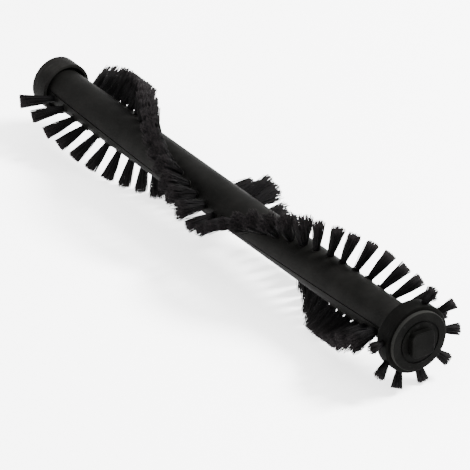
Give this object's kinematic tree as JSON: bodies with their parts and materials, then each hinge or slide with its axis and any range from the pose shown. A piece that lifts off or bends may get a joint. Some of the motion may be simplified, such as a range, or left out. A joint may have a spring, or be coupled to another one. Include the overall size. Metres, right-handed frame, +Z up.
{
  "type": "brush roller",
  "caption": "Tufted brush roller for a wet and dry floor scrubber, with helical nylon tufts, a drive cup and a free-turning keyed end cap.",
  "frame": {"origin": "on the roller's axis, midway between the drive cup's outer face and the tip of the end cap's key", "axes": "+X along the axis from the drive cup to the keyed end cap, +Z up as the roller lies, +Y completes a right-handed frame"},
  "size_m": [0.303, 0.049, 0.049],
  "materials": {
    "core_plastic": "satin",
    "cup_plastic": "satin",
    "hub_plastic": "satin",
    "cap_plastic": "satin",
    "inner_plastic": "matte",
    "cage_plastic": "satin",
    "bristle": "matte",
    "felt": "matte",
    "steel": "brushed",
    "spring_steel": "satin",
    "anchor_wire": "satin",
    "bearing_steel": "polished"
  },
  "bodies": {
    "brush": {"core_shell_upper": "core_plastic", "core_shell_lower": "core_plastic", "drive_cup": "cup_plastic", "drive_insert": "steel", "axle_shaft": "steel", "shaft_circlip": "spring_steel", "core_spider_1": "inner_plastic", "core_spider_2": "inner_plastic", "core_spider_3": "inner_plastic", "tuft_hub": "hub_plastic", "felt_washer": "felt", "tuft_row_upper_far": "bristle", "tuft_row_lower_far": "bristle", "tuft_row_upper_near": "bristle", "tuft_row_lower_near": "bristle", "anchor_row_upper_far": "anchor_wire", "anchor_row_lower_far": "anchor_wire", "anchor_row_upper_near": "anchor_wire", "anchor_row_lower_near": "anchor_wire", "hub_tufts": "bristle", "hub_anchors": "anchor_wire", "bearing_inner_race": "bearing_steel"},
    "end_cap": {"end_cap": "cap_plastic", "bearing_outer_race": "bearing_steel"},
    "ball_cage": {"bearing_cage": "cage_plastic", "bearing_balls": "bearing_steel"}
  },
  "joints": [
    {"name": "end_cap_spin", "type": "hinge", "parent": "brush", "child": "end_cap", "pos_m": [0.1435, 0, 0], "axis": [1, 0, 0], "continuous": true},
    {"name": "ball_cage_spin", "type": "hinge", "parent": "brush", "child": "ball_cage", "pos_m": [0.1435, 0, 0], "axis": [1, 0, 0], "continuous": true}
  ],
  "couplings": [
    {"joint": "ball_cage_spin", "follows": "end_cap_spin", "ratio": 0.639}
  ]
}
